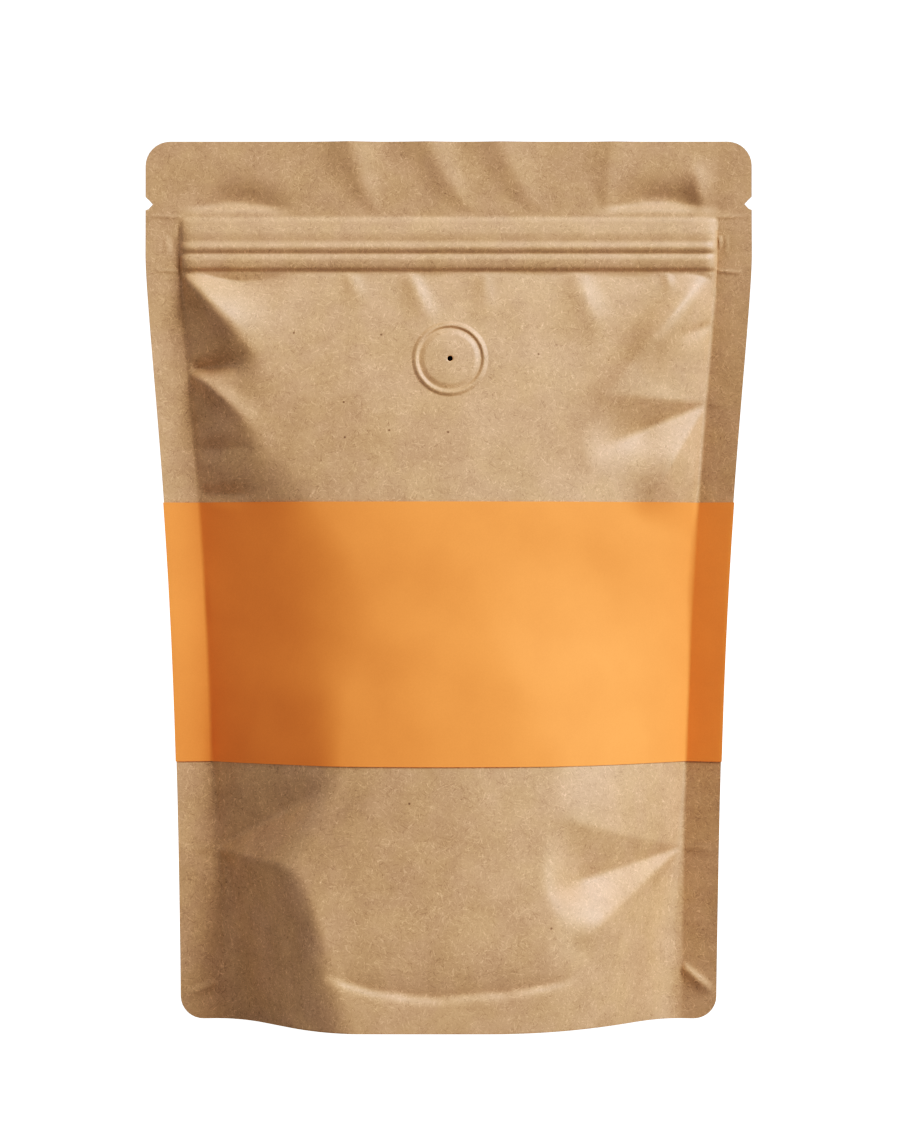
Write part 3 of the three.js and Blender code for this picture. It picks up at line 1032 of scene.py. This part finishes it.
@dataclass(frozen=True)
class Valve:
    """One-way valve welded behind the front: a raised ring round a low button with a pinhole."""

    form: PouchForm
    centre: Point = (0.4, 173.6)
    cut_radius: float = 11.5
    patch_radius: float = 10.7
    steps: int = 120
    coarse_step: float = 0.9
    fine_step: float = 0.14
    fine_from: float = 6.2
    disc_rise: float = 0.4
    disc_edge: Point = (6.4, 8.15)
    crest_radius: float = 8.95
    crest_inner: float = 0.85
    crest_outer: float = 1.15
    crest_rise: float = 0.5
    hole_radius: float = 0.66
    hole_depth: float = 2.2
    lip: float = 0.16
    lip_width: float = 0.5
    # Material number of the near-black painted shade in the pinhole.
    hole_shade_index: int = 1

    # Points this close to a circle count as on it.
    margin: float = 0.01

    def rise(self, radius: FloatArray) -> FloatArray:
        """Works out how far the valve stands out of the panel.

        Args:
            radius: Distances from the valve's centre.

        Returns:
            The rise at each distance.
        """
        disc = self.disc_rise * (1 - smooth_step(radius, *self.disc_edge))
        offset = radius - self.crest_radius
        crest = self.crest_rise * bump(offset / np.where(offset > 0, self.crest_outer, self.crest_inner))
        lip = self.lip * clamp01(1 - (radius - self.hole_radius) / self.lip_width) ** 2
        return disc + crest - lip

    def weld_into(self, bm: bmesh.types.BMesh) -> None:
        """Cuts a disc out of the front and fills it with the finely made valve.

        Args:
            bm: The pouch's skin.
        """
        middle_x, middle_z = self.centre
        cut = [face for face in bm.faces if self._is_covered(face.calc_center_median())]
        bmesh.ops.delete(bm, geom=cut, context="FACES")
        rim = [edge for edge in bm.edges if edge.is_boundary]
        radii = np.concatenate([
            [self.hole_radius],
            spaced(self.hole_radius, self.hole_radius + self.lip_width, self.fine_step),
            spaced(self.hole_radius + self.lip_width, self.fine_from, self.coarse_step),
            spaced(self.fine_from, self.patch_radius, self.fine_step),
        ])
        line = [bm.verts.new(((middle_x + radius) * MM, 0.0, middle_z * MM)) for radius in radii]
        edges = [bm.edges.new(pair) for pair in zip(line, line[1:])]
        before = set(bm.verts) - set(line)
        bmesh.ops.spin(
            bm,
            geom=line + edges,
            cent=(middle_x * MM, 0.0, middle_z * MM),
            axis=(0.0, 1.0, 0.0),
            angle=2 * math.pi,
            steps=self.steps,
            use_merge=True,
        )
        patch = [vert for vert in bm.verts if vert not in before]
        x, z = (np.array([vert.co[axis] for vert in patch]) / MM for axis in (0, 2))
        radius = np.hypot(x - middle_x, z - middle_z)
        y = self.form.face_y(Side.FRONT, x, z) - self.rise(radius)
        for vert, place_y in zip(patch, y):
            vert.co.y = place_y * MM
        inner = [vert for vert, size in zip(patch, radius) if size < self.hole_radius + self.margin]
        self._sink_hole(bm, inner)
        cut_edges = [edge for edge in rim if edge.is_valid]
        outer = [vert for vert, size in zip(patch, radius) if size > self.patch_radius - self.margin]
        bmesh.ops.bridge_loops(bm, edges=cut_edges + edges_among(bm, outer))

    def _is_covered(self, point: Sequence[float]) -> bool:
        """Whether a point in metres is on the front and inside the disc to cut out."""
        away = math.hypot(point[0] / MM - self.centre[0], point[2] / MM - self.centre[1])
        return point[1] < 0 and away < self.cut_radius

    def _sink_hole(self, bm: bmesh.types.BMesh, rim: list[bmesh.types.BMVert]) -> None:
        """Sinks the pinhole into the disc, with a closed end, and gives its walls and end the near-black
        painted shade.

        Args:
            bm: The pouch's skin.
            rim: Points round the pinhole's mouth.
        """
        walls = bmesh.ops.extrude_edge_only(bm, edges=edges_among(bm, rim))["geom"]
        deep = [item for item in walls if isinstance(item, bmesh.types.BMVert)]
        bmesh.ops.translate(bm, verts=deep, vec=(0.0, self.hole_depth * MM, 0.0))
        bottom = [item for item in walls if isinstance(item, bmesh.types.BMEdge)]
        end = bmesh.ops.contextual_create(bm, geom=bottom)["faces"]
        # The walls and the end get the near-black painted shade.
        for face in [*end, *(item for item in walls if isinstance(item, bmesh.types.BMFace))]:
            face.material_index = self.hole_shade_index


@dataclass
class PouchBody:
    """The pouch's skin: front, back, header, ridge, gusset and valve, as one closed surface."""

    form: PouchForm
    columns: Columns
    valve: Valve
    band: Point

    # How the skin is drawn in under the band, away from its edges and from the seams.
    tuck_depth: float = 0.25
    tuck_start: float = 0.3
    tuck_ease: float = 1.5
    tuck_run_out: float = 2.0

    # Steps between rows: round the foot, at the ridge, on the panels, under the band and in the header.
    arc_steps: int = 8
    fine_step: float = 0.3
    panel_step: float = 0.75
    hidden_step: float = 3.2
    header_step: float = 0.8
    ridge_lead: float = 2.0

    # The skirt along the foot, and the gusset that rises inside it to its ends.
    skirt_thickness: float = 0.6
    floor_half_length: float = 34.0
    floor_share: float = 0.85
    crease_share: float = 0.1
    fold_rise: float = 1.0
    rise_power: float = 1.7
    closed_gap: float = 0.5

    def rows(self) -> FloatArray:
        """Works out the front's rows, finest round the ridge and coarse where the band hides them.

        Returns:
            Their heights, from the foot to the top. Their count is odd.
        """
        form = self.form
        turn = np.arange(self.arc_steps + 1) / self.arc_steps * math.pi / 2
        foot = form.foot_corner * (1 - np.cos(turn))
        top = form.height - form.top_corner * (1 - np.cos(turn[::-1]))
        notch_low = form.notch_height - form.notch_opening / 2
        notch_high = form.notch_height + form.notch_opening / 2
        ridge_start = form.ridge_foot - self.ridge_lead
        low, high = self.band
        zones = [
            foot,
            spaced(foot[-1], low, self.panel_step),
            spaced(low, high, self.hidden_step),
            spaced(high, ridge_start, self.panel_step),
            spaced(ridge_start, notch_low, self.fine_step),
            spaced(notch_low, notch_high, self.fine_step),
            spaced(notch_high, top[0], self.header_step),
            top[1:],
        ]
        rows = np.concatenate(zones)
        if len(rows) % 2 == 0:
            rows = np.insert(rows, 1, (rows[0] + rows[1]) / 2)
        return rows

    def surface(self, side: Side, z: FloatArray) -> FloatArray:
        """Lays out a panel, tucked in a little under the band.

        Args:
            side: The panel.
            z: Heights of its rows.

        Returns:
            The points, as rows of columns.
        """
        x = self.columns.x_at(z)
        heights = np.broadcast_to(z[:, None], x.shape)
        low, high = self.band
        start = low + self.tuck_start
        end = high - self.tuck_start
        inside = smooth_step(heights, start, start + self.tuck_ease)
        inside = inside * (1 - smooth_step(heights, end - self.tuck_ease, end))
        depth_share = clamp01((self.form.seam_x(heights) - np.abs(x)) / self.tuck_run_out)
        y = self.form.face_y(side, x, heights) - side.value * self.tuck_depth * inside * depth_share
        return np.stack([x, y, heights], axis=-1)

    def underside(self) -> FloatArray:
        """Lays out the underside: the skirt's inner faces and the gusset with its fold.

        Returns:
            The points, as rows of columns from the back foot to the front one.
        """
        form = self.form
        x = self.columns.x_at(np.zeros(1))[0]
        zero = np.zeros_like(x)
        seal = form.gusset_seal_height(x)
        seam = float(form.seam_x(np.zeros(1))[0])
        beyond = clamp01((np.abs(x) - self.floor_half_length) / (seam - self.floor_half_length))
        rise = form.fold_height * beyond**self.rise_power
        shared = form.shared_shift(x, zero)
        halves = []
        for side in (Side.BACK, Side.FRONT):
            foot = form.face_y(side, x, zero)
            at_seal = form.face_y(side, x, seal)
            wall = np.minimum(side.value * foot, side.value * at_seal) - self.skirt_thickness
            shut = wall < self.closed_gap
            steps = [
                (foot - side.value * self.skirt_thickness, zero),
                (side.value * wall, seal),
                (side.value * wall * self.floor_share, rise),
                (side.value * wall * self.crease_share, rise),
                (zero, rise + self.fold_rise),
            ]
            halves.append([
                np.stack([x, np.where(shut, shared, y), np.where(shut, 0.0, z)], axis=-1)
                for y, z in steps
            ])
        back, front = halves
        return np.stack([*back, *front[-2::-1]])

    def points(self) -> tuple[FloatArray, int]:
        """Lays out the whole skin.

        Returns:
            All rows of points round the pouch, and the number of rows on the front.
        """
        front_rows = self.rows()
        back_rows = front_rows[::-2]
        front = self.surface(Side.FRONT, front_rows)
        back = self.surface(Side.BACK, back_rows)
        body = np.concatenate([front, back, self.underside(), front[:1]])
        heights = np.concatenate([front_rows, back_rows, np.zeros(len(body) - len(front) - len(back))])
        edges = []
        for column in (0, -1):
            x = body[:, column, 0]
            edges.append(np.stack([x, self.form.shared_shift(x, heights), heights], axis=-1)[:, None, :])
        return np.concatenate([edges[0], body, edges[1]], axis=1), len(front_rows)

    def build(self) -> bpy.types.Object:
        """Makes the skin.

        Returns:
            The new object.
        """
        points, front_count = self.points()
        bm = bmesh.new()
        lattice = grid_mesh(bm, points)
        self._match_edges(lattice, front_count)
        bmesh.ops.remove_doubles(bm, verts=bm.verts, dist=WELD)
        loose = [vert for vert in bm.verts if not vert.link_faces]
        bmesh.ops.delete(bm, geom=loose, context="VERTS")
        self.valve.weld_into(bm)
        bmesh.ops.recalc_face_normals(bm, faces=bm.faces)
        log.info("open edges left in the skin: %d", sum(not edge.is_manifold for edge in bm.edges))
        return finished_object(bm, "pouch_body")

    def _match_edges(self, lattice: list[list[bmesh.types.BMVert]], front_count: int) -> None:
        """Gives the back's outer edges a vertex for every one that the front's have.

        Args:
            lattice: The skin's vertices, as rows of columns.
            front_count: The number of rows on the front.
        """
        back_count = (front_count + 1) // 2
        for column in (0, -1):
            for step in range(back_count - 1):
                upper = lattice[front_count + step][column]
                lower = lattice[front_count + step + 1][column]
                edge = next(item for item in upper.link_edges if item.other_vert(upper) is lower)
                _, between = bmesh.utils.edge_split(edge, upper, HALFWAY)
                between.co = lattice[front_count - 2 - 2 * step][column].co


@dataclass
class LabelBand:
    """The paper band: a thin sleeve round the front, both side seals and the back."""

    form: PouchForm
    columns: Columns
    low: float
    high: float
    gap: float = 0.06
    thickness: float = 0.14
    row_step: float = 1.0

    def build(self) -> bpy.types.Object:
        """Makes the sleeve.

        Returns:
            The new object.
        """
        rows = np.concatenate([[self.low], spaced(self.low, self.high, self.row_step)])
        outer = self._shell(rows, self.gap + self.thickness)
        inner = self._shell(rows[::-1], self.gap)
        points = np.concatenate([outer, inner, outer[:1]])
        points = np.concatenate([points, points[:, :1]], axis=1)
        bm = bmesh.new()
        grid_mesh(bm, points)
        bmesh.ops.remove_doubles(bm, verts=bm.verts, dist=WELD)
        bmesh.ops.recalc_face_normals(bm, faces=bm.faces)
        return finished_object(bm, "band_sleeve")

    def _shell(self, rows: FloatArray, away: float) -> FloatArray:
        """Lays out one face of the sleeve, all round the pouch.

        Args:
            rows: Heights of its rows.
            away: How far it is outside the pouch.

        Returns:
            The points, as rows of columns.
        """
        x = self.columns.x_at(rows)
        heights = np.broadcast_to(rows[:, None], x.shape)
        x_front = x.copy()
        x_front[:, 0] -= away
        x_front[:, -1] += away
        faces = []
        for side in (Side.FRONT, Side.BACK):
            y = self.form.face_y(side, x, heights) + side.value * away
            faces.append(np.stack([x_front, y, heights], axis=-1))
        return np.concatenate([faces[0], faces[1][:, ::-1]], axis=1)


# ----------------------------------------------------------------------------------------------
# Studio
# ----------------------------------------------------------------------------------------------


@dataclass(frozen=True)
class Lamp:
    """A large soft light, turned this far from the front and this high, in degrees.

    Its distance and its size are in metres.
    """

    name: str
    turn: float
    climb: float
    power: float
    distance: float = 3.2
    size: float = 1.6

    def build(self, target: Sequence[float]) -> None:
        """Makes the light.

        Args:
            target: The point that it is aimed at.
        """
        turn, climb = math.radians(self.turn), math.radians(self.climb)
        away = np.array([
            math.sin(turn) * math.cos(climb),
            -math.cos(turn) * math.cos(climb),
            math.sin(climb),
        ])
        data = bpy.data.lights.new(self.name, "AREA")
        data.shape = "DISK"
        data.size = self.size
        data.energy = self.power
        lamp = bpy.data.objects.new(self.name, data)
        lamp.location = np.array(target) + self.distance * away
        lamp.rotation_euler = (math.pi / 2 - climb, 0.0, turn)
        lamp.visible_camera = False
        bpy.context.scene.collection.objects.link(lamp)


@dataclass(frozen=True)
class Studio:
    """Pale floor and backdrop, soft light and the camera, with sizes in metres."""

    target: tuple[float, float, float] = (0.0, 0.0, 0.11)
    lamps: tuple[Lamp, ...] = (
        Lamp("key", 50.0, 50.0, 109.0),
        Lamp("side", 60.0, 12.0, 36.0),
        Lamp("fill", -75.0, 8.0, 9.5),
        Lamp("rear", -155.0, 45.0, 18.0, distance=1.5, size=0.8),
    )
    world_strength: float = 0.36
    card_centre: tuple[float, float, float] = (0.0, -0.095, 0.0004)
    card_size: tuple[float, float] = (0.6, 0.15)
    card_power: float = 0.05
    floor_glow: float = 1.3
    floor_grey: tuple[float, float, float, float] = (0.2, 0.2, 0.2, 1.0)
    floor_roughness: float = 0.9
    tones: tuple[Point, ...] = (
        (0.0, 0.0),
        (0.0676, 0.02),
        (0.118, 0.058),
        (0.177, 0.12),
        (0.265, 0.23),
        (0.346, 0.33),
        (0.405, 0.4),
        (0.5, 0.5),
        (0.635, 0.62),
        (0.746, 0.71),
        (0.897, 0.82),
        (1.11, 0.956),
        (1.2, 1.0),
    )
    floor_drop: float = 0.0001
    floor_half_width: float = 3.0
    floor_front: float = -2.0
    floor_back: float = 1.2
    sweep_radius: float = 0.6
    sweep_stations: int = 17
    wall_height: float = 3.0
    surround_radius: float = 6.0
    surround_sides: int = 96
    camera_place: tuple[float, float, float] = (0.0004, -0.9, 0.1203)
    camera_lens: float = 109.08
    camera_sensor: float = 36.0

    def build(self) -> None:
        """Makes the backdrop, the lights and the camera."""
        self._backdrop()
        self._surround()
        for lamp in self.lamps:
            lamp.build(self.target)
        self._card_light()
        self._world()
        self._camera()
        self._tone()

    def _tone(self) -> None:
        """Plain view with a little more contrast in the shadows."""
        view = bpy.context.scene.view_settings
        view.view_transform = "Standard"
        view.use_curve_mapping = True
        mapping = view.curve_mapping
        mapping.clip_max_x = self.tones[-1][0]
        mapping.clip_max_y = 1.0
        curve = mapping.curves[ALL_COLOURS]
        curve.points[0].location = self.tones[0]
        curve.points[1].location = self.tones[-1]
        for tone in self.tones[1:-1]:
            curve.points.new(*tone)
        mapping.update()

    def _backdrop(self) -> None:
        """Floor that sweeps up into a wall."""
        bm = bmesh.new()
        profile = [(self.floor_front, -self.floor_drop)]
        for turn in np.linspace(0, math.pi / 2, self.sweep_stations):
            y = self.floor_back + self.sweep_radius * math.sin(turn)
            profile.append((y, self.sweep_radius * (1 - math.cos(turn)) - self.floor_drop))
        profile.append((self.floor_back + self.sweep_radius, self.wall_height))
        line = [bm.verts.new((-self.floor_half_width, y, z)) for y, z in profile]
        edges = [bm.edges.new(pair) for pair in zip(line, line[1:])]
        swept = bmesh.ops.extrude_edge_only(bm, edges=edges)
        moved = [item for item in swept["geom"] if isinstance(item, bmesh.types.BMVert)]
        bmesh.ops.translate(bm, verts=moved, vec=(2 * self.floor_half_width, 0, 0))
        bmesh.ops.recalc_face_normals(bm, faces=bm.faces)
        self._whiten(finished_object(bm, "backdrop"))

    def _surround(self) -> None:
        """Wall all round, far off, that only the camera sees."""
        bm = bmesh.new()
        bmesh.ops.create_cone(
            bm,
            cap_ends=False,
            segments=self.surround_sides,
            radius1=self.surround_radius,
            radius2=self.surround_radius,
            depth=2 * self.surround_radius,
        )
        surround = finished_object(bm, "surround")
        surround.visible_shadow = False
        self._whiten(surround)

    def _whiten(self, stage: bpy.types.Object) -> None:
        """Gives part of the stage a pale glow that sheds no light on the pouch.

        Args:
            stage: The part of the stage.
        """
        tree = NodeTree(f"{stage.name}_white")
        tree.feed(tree.shader, "Base Color", self.floor_grey)
        tree.feed(tree.shader, "Roughness", self.floor_roughness)
        tree.feed(tree.shader, "Emission Color", WHITE)
        tree.feed(tree.shader, "Emission Strength", self.floor_glow)
        stage.data.materials.append(tree.material)
        stage.visible_diffuse = False
        stage.visible_glossy = False

    def _card_light(self) -> None:
        """Light that comes up from the pale floor in front."""
        data = bpy.data.lights.new("card", "AREA")
        data.shape = "RECTANGLE"
        data.size, data.size_y = self.card_size
        data.energy = self.card_power
        lamp = bpy.data.objects.new("card", data)
        lamp.location = self.card_centre
        lamp.rotation_euler = (math.pi, 0.0, 0.0)
        lamp.visible_camera = False
        bpy.context.scene.collection.objects.link(lamp)

    def _world(self) -> None:
        """Even white surroundings."""
        world = bpy.data.worlds.new("surroundings")
        world.use_nodes = True
        background = world.node_tree.nodes["Background"]
        background.inputs["Color"].default_value = WHITE
        background.inputs["Strength"].default_value = self.world_strength
        bpy.context.scene.world = world

    def _camera(self) -> None:
        """Level camera in front of the pouch."""
        data = bpy.data.cameras.new("camera")
        data.lens = self.camera_lens
        data.sensor_width = self.camera_sensor
        camera = bpy.data.objects.new("camera", data)
        camera.location = self.camera_place
        camera.rotation_euler = (math.pi / 2, 0.0, 0.0)
        bpy.context.scene.collection.objects.link(camera)
        bpy.context.scene.camera = camera


def dress(piece: bpy.types.Object, node: str, finishes: Sequence[bpy.types.Material]) -> None:
    """Dresses a piece, lets it ride on the frame's root and stand for its solid, and reports it.

    Args:
        piece: The piece.
        node: The solid that it replaces.
        finishes: Its materials, in the order of their numbers.
    """
    for finish in finishes:
        piece.data.materials.append(finish)
    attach(piece, "root")
    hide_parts(node)
    triangles = sum(len(face.vertices) - 2 for face in piece.data.polygons)
    log.info("%s: %d triangles", piece.name, triangles)


def main() -> None:
    """Builds the pouch, its band and the studio, and keeps their sizes."""
    logging.basicConfig(level=logging.INFO, format="%(message)s")
    low, high = (np.array(corner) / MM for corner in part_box("pouch"))
    band_low, band_high = (corner.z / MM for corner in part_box("label_band"))
    form = PouchForm(height=float(high[2]), width=float(high[0] - low[0]))
    columns = Columns(form)
    kraft = KraftPaper().material()
    # Near-black painted shade for the inside of the pinhole.
    hole = PaintedHoleShade().material()
    body = PouchBody(form, columns, Valve(form), (band_low, band_high)).build()
    dress(body, "pouch", [kraft, hole])
    band = LabelBand(form, columns, band_low, band_high).build()
    dress(band, "label_band", [BandPaper().material()])
    Studio().build()


if __name__ == "__main__":
    main()
